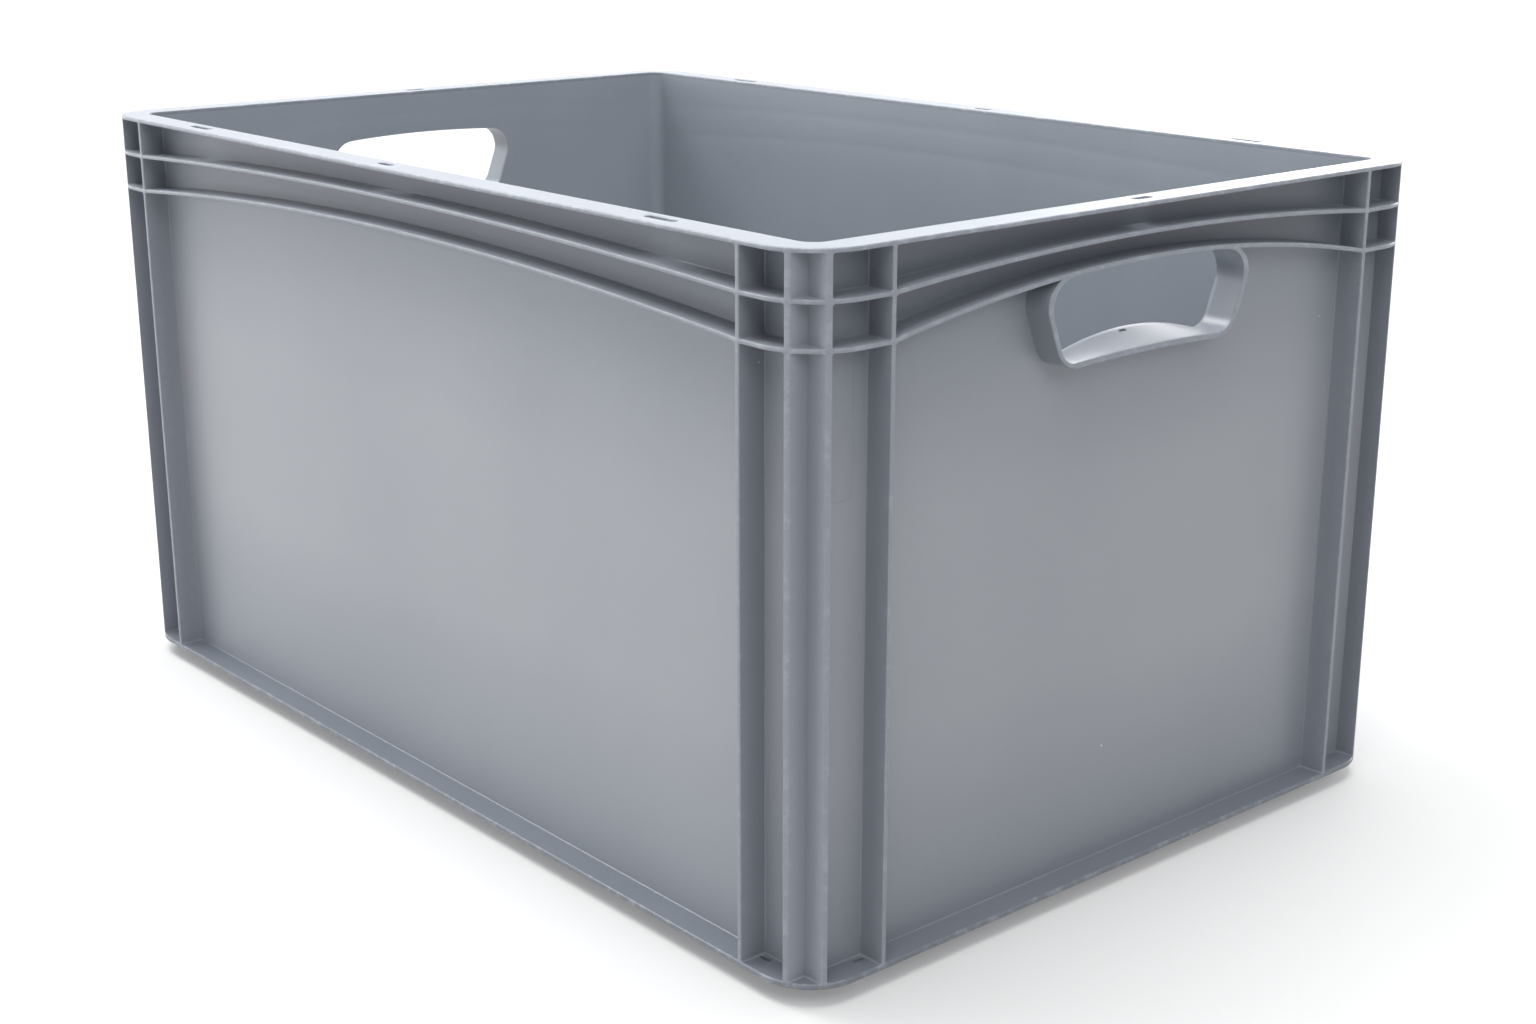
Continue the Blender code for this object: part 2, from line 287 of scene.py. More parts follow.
def close_mesh(name, sections, wear):
    """One closed mesh through equal closed sections; wear(section, point) is kept on each vertex."""
    body = bmesh.new()
    layer = body.verts.layers.float.new("wear")
    rows = []
    for number, section in enumerate(sections):
        row = []
        for index, point in enumerate(section):
            vertex = body.verts.new(point)
            vertex[layer] = wear(number, index)
            row.append(vertex)
        rows.append(row)
    for lower, upper in zip(rows, rows[1:]):
        for index, vertex in enumerate(lower):
            after = (index + 1) % len(lower)
            body.faces.new((vertex, lower[after], upper[after], upper[index]))
    body.faces.new(list(reversed(rows[0])))
    body.faces.new(rows[-1])
    bmesh.ops.recalc_face_normals(body, faces=body.faces)
    if body.calc_volume(signed=True) < 0:
        bmesh.ops.reverse_faces(body, faces=body.faces)
    mesh = bpy.data.meshes.new(name)
    body.to_mesh(mesh)
    body.free()
    return mesh


def thing(name, mesh):
    item = bpy.data.objects.new(name, mesh)
    bpy.context.scene.collection.objects.link(item)
    return item


def cut(item, meshes):
    """Take closed meshes out of an item, for good."""
    tools = []
    for number, mesh in enumerate(meshes):
        tool = thing(f"{item.name}_cut_{number}", mesh)
        opening = item.modifiers.new(tool.name, "BOOLEAN")
        opening.operation = "DIFFERENCE"
        opening.solver = "EXACT"
        opening.object = tool
        tools.append(tool)
    graph = bpy.context.evaluated_depsgraph_get()
    result = bpy.data.meshes.new_from_object(item.evaluated_get(graph))
    item.modifiers.clear()
    item.data = result
    for tool in tools:
        bpy.data.objects.remove(tool, do_unlink=True)


def join(item, mesh):
    """Add another closed shell to an item's mesh."""
    body = bmesh.new()
    body.from_mesh(item.data)
    body.from_mesh(mesh)
    body.to_mesh(item.data)
    body.free()
    bpy.data.meshes.remove(mesh)


def finish_piece(item, node, material):
    item.data.shade_smooth()
    item.data.set_sharp_from_angle(angle=SMOOTH_ANGLE)
    item.data.materials.clear()
    item.data.materials.append(material)
    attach(item, BODY)
    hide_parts(node)


# Profiles

def edge_wear(share):
    """Wear on a rounded edge, from its flank at 0 to its tip at 1."""
    return FLANK_WEAR + (1 - FLANK_WEAR) * share


def plate_profile(half, root, fillet_low, fillet_high, setback):
    """Across a rib or ring: (depth, offset, wear) from its root round its rounded tip and back."""
    def flank(fillet):
        points = [(root + EMBED, half + DRAFT + fillet, 0.0)]
        for turn in quarter():
            points.append((root - fillet + fillet * cos(turn), half + DRAFT + fillet * (1 - sin(turn)), 0.0))
        points.append(((root + EDGE_RADIUS) / 2, half + DRAFT / 2, 0.0))
        for turn in quarter():
            points.append((
                setback + EDGE_RADIUS * (1 - sin(turn)),
                half - EDGE_RADIUS + EDGE_RADIUS * cos(turn),
                edge_wear(sin(turn)),
            ))
        return points
    high = flank(fillet_high)
    low = [(depth, -offset, wear) for depth, offset, wear in flank(fillet_low)]
    return high + list(reversed(low))


def envelope_depth(side, s):
    """How far the rounded corner stands back from the side's plane at s."""
    past = abs(s) - (side.run - ENVELOPE_RADIUS)
    return ENVELOPE_RADIUS - sqrt(ENVELOPE_RADIUS**2 - past**2) if past > 0 else 0.0


def ring_heights(name):
    """Middle height of a ring's plate at the corners, half its thickness, and its rise on each side."""
    low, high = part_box(f"front_right_corner_{name}_ring")
    level = (low.z + high.z) / 2
    half = (high.z - low.z) / 2
    return level, half, {side.name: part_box(f"{side.name}_{name}_ring")[1].z - half - level for side in SIDES}


RINGS = {name: ring_heights(name) for name in ("upper", "lower")}


def ring_level(side, name, s):
    """Middle height of a ring's plate at s."""
    level, half, rises = RINGS[name]
    return level + rises[side.name] * (1 - (s / side.rib) ** 2)


# Long bands with mitred ends

def band_edge(side, depth, radius):
    """Plan points (s, depth) along a side from mitre to mitre."""
    run = side.run - depth
    left = [
        (-run + radius + radius * cos(turn), depth + radius + radius * sin(turn))
        for turn in (pi * 5 / 4 + pi / 4 * step / ARC_STEPS for step in range(ARC_STEPS + 1))
    ]
    start = left[-1][0]
    middle = [(start - 2 * start * step / STRAIGHT_STEPS, depth) for step in range(1, STRAIGHT_STEPS)]
    return left + middle + [(-s, d) for s, d in reversed(left)]


def band(name, side, profile, shift=None):
    """A band along one side; profile points are (depth, z, radius, wear)."""
    edges = [band_edge(side, depth, radius) for depth, z, radius, wear in profile]
    sections = []
    for station in range(len(edges[0])):
        section = []
        for edge, (depth, z, radius, wear) in zip(edges, profile):
            s, d = edge[station]
            inward, upward = shift(s, z, len(section)) if shift else (0.0, 0.0)
            section.append(put(side, s, d + inward, z + upward))
        sections.append(section)
    return thing(name, close_mesh(name, sections, lambda number, index: profile[index][3]))


def rounded(depth, z, radius_depth, direction_depth, direction_z, size, flip=False):
    """Quarter-round worn profile points at a convex corner; directions point out of the material."""
    points = []
    for turn in quarter():
        a, b = (sin(turn), cos(turn)) if flip else (cos(turn), sin(turn))
        d = depth - direction_depth * size * (1 - a)
        h = z - direction_z * size * (1 - b)
        points.append((d, h, radius_depth(d), 1.0))
    return points


def outer_radius(depth):
    return ENVELOPE_RADIUS - depth


def rim_inner_radius(depth):
    return INNER_RADIUS + WALL_INNER_DEPTH - depth


def foot_radius(depth):
    return FOOT_RADIUS - (depth - FOOT_DEPTH)


def slit_mesh(side, s, depth, length, width, low, high):
    """An oblong opening whose mouth opens out a little at its top."""
    sections = []
    levels = [(low - SLIT_OVERRUN, 0.0), (high - MOUTH, 0.0)]
    levels += [(high - MOUTH + MOUTH * sin(turn), MOUTH * (1 - cos(turn))) for turn in quarter()[1:]]
    levels += [(high + SLIT_OVERRUN, MOUTH)]
    for z, spread in levels:
        half = (length - width) / 2
        radius = width / 2 + spread
        loop = []
        for end, start in ((half, -pi / 2), (-half, pi / 2)):
            for step in range(SLIT_END_STEPS + 1):
                turn = start + pi * step / SLIT_END_STEPS
                loop.append(put(side, s + end + radius * cos(turn), depth + radius * sin(turn), z))
        sections.append(loop)
    return close_mesh("slit", sections, lambda number, index: SLIT_WEAR)


# Rim, base flange, foot and walls

def rim(side, material):
    node = side.name + "_rim"
    profile = rounded(0.0, RIM_HIGH, outer_radius, -1, 1, RIM_EDGE_RADIUS)
    profile += [(WORN_WIDTH, RIM_HIGH, outer_radius(WORN_WIDTH), RIM_WEAR)]
    bare = WALL_INNER_DEPTH - WORN_WIDTH
    profile += [(bare, RIM_HIGH, rim_inner_radius(bare), RIM_WEAR)]
    profile += list(reversed(rounded(WALL_INNER_DEPTH, RIM_HIGH, rim_inner_radius, 1, 1, EDGE_RADIUS)))
    profile += [(WALL_INNER_DEPTH, RIM_LOW, INNER_RADIUS, 0.0)]
    profile += [(WALL_DEPTH, RIM_LOW, outer_radius(WALL_DEPTH), 0.0)]
    profile += list(reversed(rounded(0.0, RIM_LOW, outer_radius, -1, -1, EDGE_RADIUS)))
    item = band(node + "_moulding", side, profile)
    cut(item, [slit_mesh(side, *slot, RIM_LOW, RIM_HIGH) for slot in side.slots])
    finish_piece(item, node, material)


def base_flange(side, material):
    node = side.name + "_base_flange"
    profile = rounded(0.0, FLANGE_HIGH, outer_radius, -1, 1, EDGE_RADIUS)
    profile += [(WORN_WIDTH, FLANGE_HIGH, outer_radius(WORN_WIDTH), 0.0)]
    inner = foot_radius(FOOT_INNER_DEPTH)
    profile += [(FOOT_INNER_DEPTH - EDGE_RADIUS, FLANGE_HIGH, inner + EDGE_RADIUS, 0.0)]
    profile += [(FOOT_INNER_DEPTH, FLANGE_HIGH - EDGE_RADIUS, inner, 0.0)]
    profile += [(FOOT_INNER_DEPTH, FLANGE_LOW, inner, 0.0)]
    profile += list(reversed(rounded(0.0, FLANGE_LOW, outer_radius, -1, -1, FLANGE_EDGE_RADIUS)))
    item = band(node + "_moulding", side, profile)
    from_middle = side.rib + DRAIN_FROM_RIB
    cut(item, [
        slit_mesh(side, s, DRAIN_DEPTH, *DRAIN_SLIT, FLANGE_LOW, FLANGE_HIGH)
        for s in (-from_middle, from_middle)
    ])
    finish_piece(item, node, material)


def foot_rail(side, material):
    node = side.name + "_foot_rail"
    inner = foot_radius(FOOT_INNER_DEPTH)
    profile = [(FOOT_DEPTH, FLANGE_LOW + EMBED, FOOT_RADIUS, 0.0)]
    profile += [(FOOT_INNER_DEPTH - EMBED, FLANGE_LOW + EMBED, inner + EMBED, 0.0)]
    profile += [(FOOT_INNER_DEPTH - EMBED, 0.0, inner + EMBED, 0.0)]
    profile += rounded(FOOT_DEPTH, 0.0, foot_radius, -1, -1, EDGE_RADIUS, flip=True)
    finish_piece(band(node + "_moulding", side, profile), node, material)


def insert_outline(side):
    """A hairline ridge where a mould insert met the rest of the mould."""
    sections = []
    before_each = INSERT_PATH[:1] + INSERT_PATH[:-1]
    beyond_each = INSERT_PATH[1:] + INSERT_PATH[-1:]
    for (s, z), before, beyond in zip(INSERT_PATH, before_each, beyond_each):
        along = Vector((beyond[0] - before[0], beyond[1] - before[1])).normalized()
        across = (-along.y * INSERT_HALF_WIDTH, along.x * INSERT_HALF_WIDTH)
        sections.append([
            put(side, s - across[0], WALL_DEPTH + INSERT_HEIGHT, z - across[1]),
            put(side, s, WALL_DEPTH - INSERT_HEIGHT, z),
            put(side, s + across[0], WALL_DEPTH + INSERT_HEIGHT, z + across[1]),
        ])
    ridge = 1
    return close_mesh("insert_outline", sections, lambda number, index: INSERT_RIDGE_WEAR * (index == ridge))


def wall_outer_profile(low, high):
    """The outside of a wall with its fillets, from the base flange up to the rim."""
    straight = high - low - 2 * FILLET
    fillet = [(WALL_DEPTH - FILLET * (1 - sin(turn)), FILLET * (1 - cos(turn))) for turn in quarter()]
    points = [(WALL_DEPTH - FILLET, low - EMBED)]
    points += [(depth, low + rise) for depth, rise in fillet]
    points += [(WALL_DEPTH, low + FILLET + straight * step / WALL_STEPS) for step in range(1, WALL_STEPS)]
    points += [(depth, high - rise) for depth, rise in reversed(fillet)]
    points += [(WALL_DEPTH - FILLET, high + EMBED)]
    return [(depth, z, WALL_CORNER_RADIUS + WALL_DEPTH - depth, 0.0) for depth, z in points]


def wall(side, material, inside):
    node = side.name + "_wall"
    low, high = FLANGE_HIGH, RIM_LOW
    profile = wall_outer_profile(low, high)
    profile.append((WALL_INNER_DEPTH - EMBED, high + EMBED, INNER_RADIUS + EMBED, 0.0))
    profile.append((WALL_INNER_DEPTH, high, INNER_RADIUS, 0.0))
    follows = {}
    for name in ("upper", "lower"):
        level = RINGS[name][0]
        for step in range(SINK_STEPS + 1):
            offset = 1 - 2 * step / SINK_STEPS
            sink = SINK_DEPTH * (1 + cos(pi * offset)) / 2
            follows[len(profile)] = name
            z = level + SINK_HALF_WIDTH * offset
            profile.append((WALL_INNER_DEPTH - sink, z, INNER_RADIUS + sink, 0.0))
    top = profile[-1][1]
    for step in range(WALL_STEPS - 1, 0, -1):
        profile.append((WALL_INNER_DEPTH, low + (top - low) * step / WALL_STEPS, INNER_RADIUS, 0.0))
    profile.append((WALL_INNER_DEPTH, low - EMBED, INNER_RADIUS, 0.0))

    def bow(s, z, index):
        """The panel bows out, and its sink lines rise with the rings."""
        across = max(0.0, 1 - (s / side.rib) ** 2)
        up = max(0.0, 1 - ((z - (low + high) / 2) / ((high - low) / 2)) ** 2)
        outer = profile[index][0] <= WALL_DEPTH
        rise = RINGS[follows[index]][2][side.name] * across if index in follows else 0.0
        return (-PANEL_BOW * across * up if outer else 0.0), rise

    item = band(node + "_moulding", side, profile, bow)
    if side.has_grip:
        cut(item, [hand_hole(side)])
        join(item, insert_outline(side))
    finish_piece(item, node, material)
    # The inside faces take the lighter plastic, which is painted light
    item.data.materials.append(inside)
    out_x, out_y = sin(side.turn), -cos(side.turn)
    middle = side.reach - (WALL_DEPTH + WALL_INNER_DEPTH) / 2
    for face in item.data.polygons:
        if face.center.x * out_x + face.center.y * out_y < middle:
            face.material_index = 1


# Ribs and rings

def levels_with_flare():
    """Heights of a rib's sections, each with how far the rib spreads there to meet a plate."""
    spread = CROSSING_FILLET
    rise = [(spread * (1 - sin(turn)), spread * (1 - cos(turn))) for turn in quarter(FLARE_STEPS)]
    levels = [(FLANGE_HIGH - EMBED, spread)] + [(FLANGE_HIGH + d, extra) for extra, d in rise]
    for name in ("lower", "upper"):
        middle = RINGS[name][0]
        half = RINGS[name][1]
        levels += [(middle - half - d, extra) for extra, d in reversed(rise)]
        levels += [(middle + half + d, extra) for extra, d in rise]
    levels += [(RIM_LOW - d, extra) for extra, d in reversed(rise)]
    return levels + [(RIM_LOW + EDGE_RADIUS, spread)]


def rib(side, node, middle, half, root, material):
    sections = []
    profile = plate_profile(half, root, FILLET, FILLET, RIB_SETBACK)
    for z, extra in levels_with_flare():
        section = []
        for depth, offset, wear in profile:
            s = middle + offset + (extra if offset > 0 else -extra)
            tip = envelope_depth(side, min(abs(s), side.run)) * max(0.0, 1 - depth / WALL_DEPTH)
            section.append(put(side, s, depth + tip, z))
        sections.append(section)
    name = node + "_moulding"
    item = thing(name, close_mesh(name, sections, lambda number, index: profile[index][2]))
    if node in CHIPS:
        join(item, chip(side, *CHIPS[node]))
    finish_piece(item, node, material)


def chip(side, s, depth, z, size):
    """A small torn flake that stands on a rib's edge."""
    dice = Random(CHIP_SEED)
    sections = []
    for step in range(1, CHIP_RINGS):
        turn = pi * step / CHIP_RINGS
        level = z - size * CHIP_SLENDERNESS * cos(turn)
        loop = []
        for spoke in range(CHIP_SPOKES):
            around = 2 * pi * spoke / CHIP_SPOKES
            radius = size * sin(turn) * dice.uniform(*CHIP_RAGGED)
            across = radius * cos(around)
            inward = radius * sin(around) * CHIP_FLATNESS
            loop.append(put(side, s + across, depth + inward, level))
        sections.append(loop)
    return close_mesh("chip", sections, lambda number, index: 1.0)


def side_ring(side, name, material):
    node = f"{side.name}_{name}_ring"
    half = RINGS[name][1]
    profiles = []
    sections = []
    for step in range(RING_STEPS + 1):
        s = side.rib * (2 * step / RING_STEPS - 1)
        over_hole = side.has_grip and name == "lower" and abs(s) < GRIP_HALF_WIDTH
        profile = plate_profile(half, WALL_DEPTH, HOLE_FILLET if over_hole else FILLET, FILLET, RING_SETBACK)
        z = ring_level(side, name, s)
        sections.append([put(side, s, depth, z + offset) for depth, offset, wear in profile])
        profiles.append(profile)
    item = thing(node + "_moulding", close_mesh(
        node + "_moulding", sections, lambda number, index: profiles[number][index][2]
    ))
    finish_piece(item, node, material)


def corner_ring(side, after, name, material):
    """The stretch of a ring round the corner at a side's right end."""
    node = f"{side.name}_{after.name}_corner_{name}_ring"
    level = RINGS[name][0]
    half = RINGS[name][1]
    centre_s = side.run - ENVELOPE_RADIUS
    stations = []
    for step in range(CORNER_RING_STEPS + 1):
        s = side.rib + (centre_s - side.rib) * step / CORNER_RING_STEPS
        stations.append(((s, 0.0), (0.0, 1.0), WALL_DEPTH))
    wall_from_centre = ENVELOPE_RADIUS - WALL_DEPTH
    for step in range(1, 2 * ARC_STEPS):
        turn = -pi / 2 + pi / 2 * step / (2 * ARC_STEPS)
        outward = (cos(turn), sin(turn))
        root = ENVELOPE_RADIUS - wall_from_centre / max(cos(turn), -sin(turn))
        tip = (centre_s + ENVELOPE_RADIUS * outward[0], ENVELOPE_RADIUS + ENVELOPE_RADIUS * outward[1])
        stations.append((tip, (-outward[0], -outward[1]), root))
    after_start = after.run - ENVELOPE_RADIUS
    for step in range(CORNER_RING_STEPS + 1):
        along = after_start + (after.rib - after_start) * step / CORNER_RING_STEPS
        stations.append(((side.run, side.reach - along), (-1.0, 0.0), WALL_DEPTH))
    sections = []
    for (s, d), (in_s, in_d), root in stations:
        profile = plate_profile(half, root, FILLET, FILLET, RING_SETBACK)
        sections.append([
            put(side, s + in_s * depth, d + in_d * depth, level + offset)
            for depth, offset, wear in profile
        ])
    item = thing(node + "_moulding", close_mesh(
        node + "_moulding", sections, lambda number, index: profile[index][2]
    ))
    finish_piece(item, node, material)


# Hand holes

def grip_ceiling(side, s):
    """Underside of the lower ring, which closes the hand hole at its top."""
    return ring_level(side, "lower", s) - RINGS["lower"][1]


def grip_path(side, inset, radii, depth, start=pi / 2):
    """The hand hole's outline at a depth, from top left down, along the floor and up to top right.

    start is how far round its top arc the outline leaves straight for the ring above.
    """
    top_radius, floor_radius = radii
    slope = cos(GRIP_FLARE)

    def arc_centre(z, radius):
        return GRIP_HALF_WIDTH + (z - GRIP_FLOOR) * tan(GRIP_FLARE) - (inset + radius) / slope

    ceiling = grip_ceiling(side, GRIP_HALF_WIDTH)
    ceiling = grip_ceiling(side, arc_centre(ceiling - top_radius, top_radius))
    top_z = ceiling - top_radius
    floor_z = GRIP_FLOOR + inset + floor_radius
    top_x = arc_centre(top_z, top_radius)
    floor_x = arc_centre(floor_z, floor_radius)
    climb = grip_ceiling(side, top_x) + 2 * EMBED - top_z - top_radius * sin(start)
    lean = tan(start) if start < pi / 2 else 0.0
    right = [(top_x + top_radius * cos(start) - climb * lean, top_z + top_radius * sin(start) + climb)]
    for step in range(GRIP_CORNER_STEPS + 1):
        turn = start + (-GRIP_FLARE - start) * step / GRIP_CORNER_STEPS
        right.append((top_x + top_radius * cos(turn), top_z + top_radius * sin(turn)))
    for step in range(GRIP_CORNER_STEPS + 1):
        turn = -GRIP_FLARE + (-pi / 2 + GRIP_FLARE) * step / GRIP_CORNER_STEPS
        right.append((floor_x + floor_radius * cos(turn), floor_z + floor_radius * sin(turn)))
    rise = GRIP_LIP_RISE + (GRIP_SADDLE_RISE - GRIP_LIP_RISE) * min(1.0, depth / WALL_INNER_DEPTH)
    floor = []
    for step in range(1, GRIP_FLOOR_STEPS):
        x = floor_x * (2 * step / GRIP_FLOOR_STEPS - 1)
        floor.append((x, GRIP_FLOOR + inset + rise * (1 - (x / floor_x) ** 2)))
    return [(-x, z) for x, z in right] + floor + list(reversed(right))


def shrunk(radii, amount):
    """Radii of an outline that runs further in by an amount."""
    return tuple(radius - amount for radius in radii)


def grip_collar(side, material):
    node = side.name + "_grip_collar"
    stations = []
    for turn in quarter():
        rounding = EDGE_RADIUS * (1 - sin(turn))
        setback = RIB_SETBACK + EDGE_RADIUS * (1 - cos(turn))
        stations.append((setback, rounding, rounding, edge_wear(1 - sin(turn))))
    straight = WALL_DEPTH - FILLET - EDGE_RADIUS
    for step in range(1, GRIP_DEPTH_STEPS):
        stations.append((EDGE_RADIUS + straight * step / GRIP_DEPTH_STEPS, 0.0, 0.0, 0.0))
    for turn in quarter():
        stations.append((WALL_DEPTH - FILLET * (1 - sin(turn)), -FILLET * (1 - cos(turn)), 0.0, 0.0))
    for turn in quarter()[1:]:
        depth = WALL_INNER_DEPTH - GRIP_MOUTH * (1 - sin(turn))
        stations.append((depth, -FILLET, GRIP_MOUTH * (1 - cos(turn)), MOUTH_WEAR * sin(turn)))
    sections = []
    for depth, outer_in, inner_out, wear in stations:
        outside = grip_path(side, outer_in, shrunk(GRIP_OUTER_RADII, outer_in), depth, GRIP_MEETING)
        inside = grip_path(side, GRIP_THICKNESS - inner_out, shrunk(GRIP_INNER_RADII, -inner_out), depth)
        buried = min(depth, WALL_DEPTH + EMBED)
        section = [put(side, x, buried, z) for x, z in outside]
        section += [put(side, x, depth, z) for x, z in reversed(inside)]
        sections.append(section)
    item = thing(node + "_moulding", close_mesh(
        node + "_moulding", sections, lambda number, index: stations[number][3]
    ))
    cut(item, [slit_mesh(side, *GRIP_SLIT, GRIP_FLOOR, GRIP_FLOOR + GRIP_SLIT_HEIGHT)])
    finish_piece(item, node, material)


def hand_hole(side):
    """The opening through the wall, whose inner edge is the collar's mouth."""
    sections = []
    for depth in (WALL_DEPTH - HOLE_OVERRUN, WALL_DEPTH, WALL_INNER_DEPTH, WALL_INNER_DEPTH + HOLE_OVERRUN):
        at = min(depth, WALL_INNER_DEPTH)
        path = grip_path(side, GRIP_THICKNESS - GRIP_MOUTH, shrunk(GRIP_INNER_RADII, -GRIP_MOUTH), at)[1:-1]
        top_x = path[-1][0]
        ceiling = []
        for step in range(1, GRIP_FLOOR_STEPS):
            x = top_x * (1 - 2 * step / GRIP_FLOOR_STEPS)
            ceiling.append((x, grip_ceiling(side, x) + RING_SETBACK))
        sections.append([put(side, x, depth, z) for x, z in path + ceiling])
    return close_mesh("hand_hole", sections, lambda number, index: 0.0)


def floor_panel(material):
    node = "floor_panel"
    inset = FOOT_INNER_DEPTH - EMBED
    radius = foot_radius(inset)
    levels = [(EDGE_RADIUS * (1 - sin(turn)), EDGE_RADIUS * (1 - cos(turn)) / 2) for turn in quarter()]
    levels += [(FLOOR_HIGH, 0.0), (FLOOR_HIGH, FLOOR_TOP_PULL)]
    sections = []
    for rise, pull in levels:
        loop = []
        for corner, (sign_x, sign_y) in enumerate(((1, 1), (-1, 1), (-1, -1), (1, -1))):
            for step in range(ARC_STEPS + 1):
                turn = corner * pi / 2 + pi / 2 * step / ARC_STEPS
                x = sign_x * (RUN - inset - radius) + (radius - pull) * cos(turn)
                y = sign_y * (REACH - inset - radius) + (radius - pull) * sin(turn)
                loop.append((x, y, rise))
        sections.append(loop)
    item = thing(node + "_moulding", close_mesh(node + "_moulding", sections, lambda number, index: 0.0))
    finish_piece(item, node, material)


# Material

def set_range(item, low, high, to_low, to_high):
    """Fill in a Map Range node."""
    for socket, number in (("From Min", low), ("From Max", high), ("To Min", to_low), ("To Max", to_high)):
        item.inputs[socket].default_value = number


class Graph:
    """Short calls for building a material's nodes."""

    def __init__(self, name):
        self.material = bpy.data.materials.new(name)
        self.material.use_nodes = True
        self.tree = self.material.node_tree
        self.shader = self.tree.nodes["Principled BSDF"]

    def link(self, output, socket):
        self.tree.links.new(output, socket)

    def node(self, kind, **settings):
        item = self.tree.nodes.new(kind)
        for key, value in settings.items():
            setattr(item, key, value)
        return item

    def place(self, scale):
        """Row frame coordinates, stretched by a scale for each axis."""
        coords = self.node("ShaderNodeTexCoord")
        mapping = self.node("ShaderNodeMapping")
        mapping.inputs["Scale"].default_value = scale
        self.link(coords.outputs["Object"], mapping.inputs["Vector"])
        return mapping.outputs["Vector"]

    def noise(self, scale, detail, stretch=NO_STRETCH, roughness=0.5):
        texture = self.node("ShaderNodeTexNoise")
        texture.inputs["Scale"].default_value = scale
        texture.inputs["Detail"].default_value = detail
        texture.inputs["Roughness"].default_value = roughness
        self.link(self.place(stretch), texture.inputs["Vector"])
        return texture.outputs["Fac"]

    def math(self, operation, first, second):
        item = self.node("ShaderNodeMath", operation=operation)
        for value, socket in ((first, item.inputs[0]), (second, item.inputs[1])):
            if isinstance(value, (int, float)):
                socket.default_value = value
            else:
                self.link(value, socket)
        return item.outputs[0]

    def remap(self, value, low, high, to_low, to_high):
        item = self.node("ShaderNodeMapRange")
        self.link(value, item.inputs["Value"])
        set_range(item, low, high, to_low, to_high)
        return item.outputs["Result"]

    def middle(self, value, to_low, to_high):
        """The middle stretch of a noise's values, spread between two numbers."""
        return self.remap(value, *NOISE_MIDDLE, to_low, to_high)

    def blend(self, factor, first, second):
        item = self.node("ShaderNodeMix", data_type="RGBA")
        self.link(factor, item.inputs["Factor"])
        for value, socket in ((first, item.inputs["A"]), (second, item.inputs["B"])):
            if isinstance(value, tuple):
                socket.default_value = value
            else:
                self.link(value, socket)
        return item.outputs["Result"]

    def bump(self, height, strength, depth):
        """A bump node whose normal another one can build on."""
        item = self.node("ShaderNodeBump")
        item.inputs["Strength"].default_value = strength
        item.inputs["Distance"].default_value = depth
        self.link(height, item.inputs["Height"])
        return item


def with_painted_light_and_shade(graph, colour, painted_light):
    """A colour with painted light, a lighter belt half way up the crate, and painted shade that darkens it
    towards the rim.
    """
    split = graph.node("ShaderNodeSeparateXYZ")
    graph.link(graph.place(NO_STRETCH), split.inputs["Vector"])
    height = split.outputs["Z"]
    # Painted light: a mottled belt between these heights lifts the panels' colour
    above = graph.remap(height, *PAINTED_LIGHT_FROM, 0.0, 1.0)
    below = graph.remap(height, *PAINTED_LIGHT_UP_TO, 1.0, 0.0)
    belt = graph.math("MULTIPLY", above, below)
    light_mottle = graph.middle(graph.noise(*PAINTED_LIGHT_MOTTLE), *(painted_light * share for share in PAINTED_LIGHT_SPREAD))
    colour = graph.blend(graph.math("MULTIPLY", belt, light_mottle), colour, PAINTED_LIGHT_COLOUR)
    # Painted shade: darker towards the rim
    return graph.blend(graph.remap(height, *PAINTED_SHADE_FROM, 0.0, PAINTED_SHADE_STRENGTH), colour, PAINTED_SHADE_COLOUR)


def dusted(graph, colour):
    """A colour with a few specks of dust."""
    dust = graph.node("ShaderNodeTexVoronoi")
    dust.inputs["Scale"].default_value = DUST_SCALE
    graph.link(graph.place(NO_STRETCH), dust.inputs["Vector"])
    speck = graph.remap(dust.outputs["Distance"], DUST_REACH * DUST_CORE, DUST_REACH, 1.0, 0.0)
    return graph.blend(speck, colour, DUST_COLOUR)


def polypropylene(name, handled, dark=PLASTIC_DARK, light=PLASTIC_LIGHT, painted_light=0.0):
    """Satin moulded plastic: flow clouds, pigment grain, dust, scuffs, and, if asked for, a belt of painted
    light with painted shade towards the rim.
    """
    graph = Graph(name)
    flow = graph.noise(*FLOW, FLOW_STRETCH)
    pigment = graph.noise(*PIGMENT)
    clouds = graph.middle(graph.noise(*CLOUDS), 0.0, CLOUD_SHARE)
    mixed = graph.math("ADD", clouds, graph.middle(flow, 0.0, FLOW_SHARE))
    mixed = graph.math("ADD", mixed, graph.middle(pigment, 0.0, PIGMENT_SHARE))
    colour = graph.blend(mixed, dark, light)
    # Painted light and painted shade on the panels, when asked for
    if painted_light > 0:
        colour = with_painted_light_and_shade(graph, colour, painted_light)

    wear = graph.node("ShaderNodeAttribute", attribute_name="wear").outputs["Fac"]
    scrapes = graph.noise(*SCRAPES, roughness=SCRAPE_NOISE_ROUGHNESS)
    scuffed = graph.math("MULTIPLY", wear, graph.remap(scrapes, *SCRAPE_RANGE, 0.0, handled))
    colour = graph.blend(scuffed, colour, PLASTIC_SCUFFED)
    graph.link(dusted(graph, colour), graph.shader.inputs["Base Color"])

    satin = graph.math("ADD", graph.middle(flow, *SATIN_ROUGHNESS), graph.middle(pigment, *PIGMENT_ROUGHNESS))
    roughness = graph.math("ADD", satin, graph.math("MULTIPLY", scuffed, SCUFF_ROUGHNESS))
    graph.link(roughness, graph.shader.inputs["Roughness"])

    sag = graph.bump(graph.noise(*SAG), *SAG_BUMP)
    grain = graph.bump(graph.noise(*GRAIN), *GRAIN_BUMP)
    graph.link(sag.outputs["Normal"], grain.inputs["Normal"])
    graph.link(grain.outputs["Normal"], graph.shader.inputs["Normal"])
    return graph.material


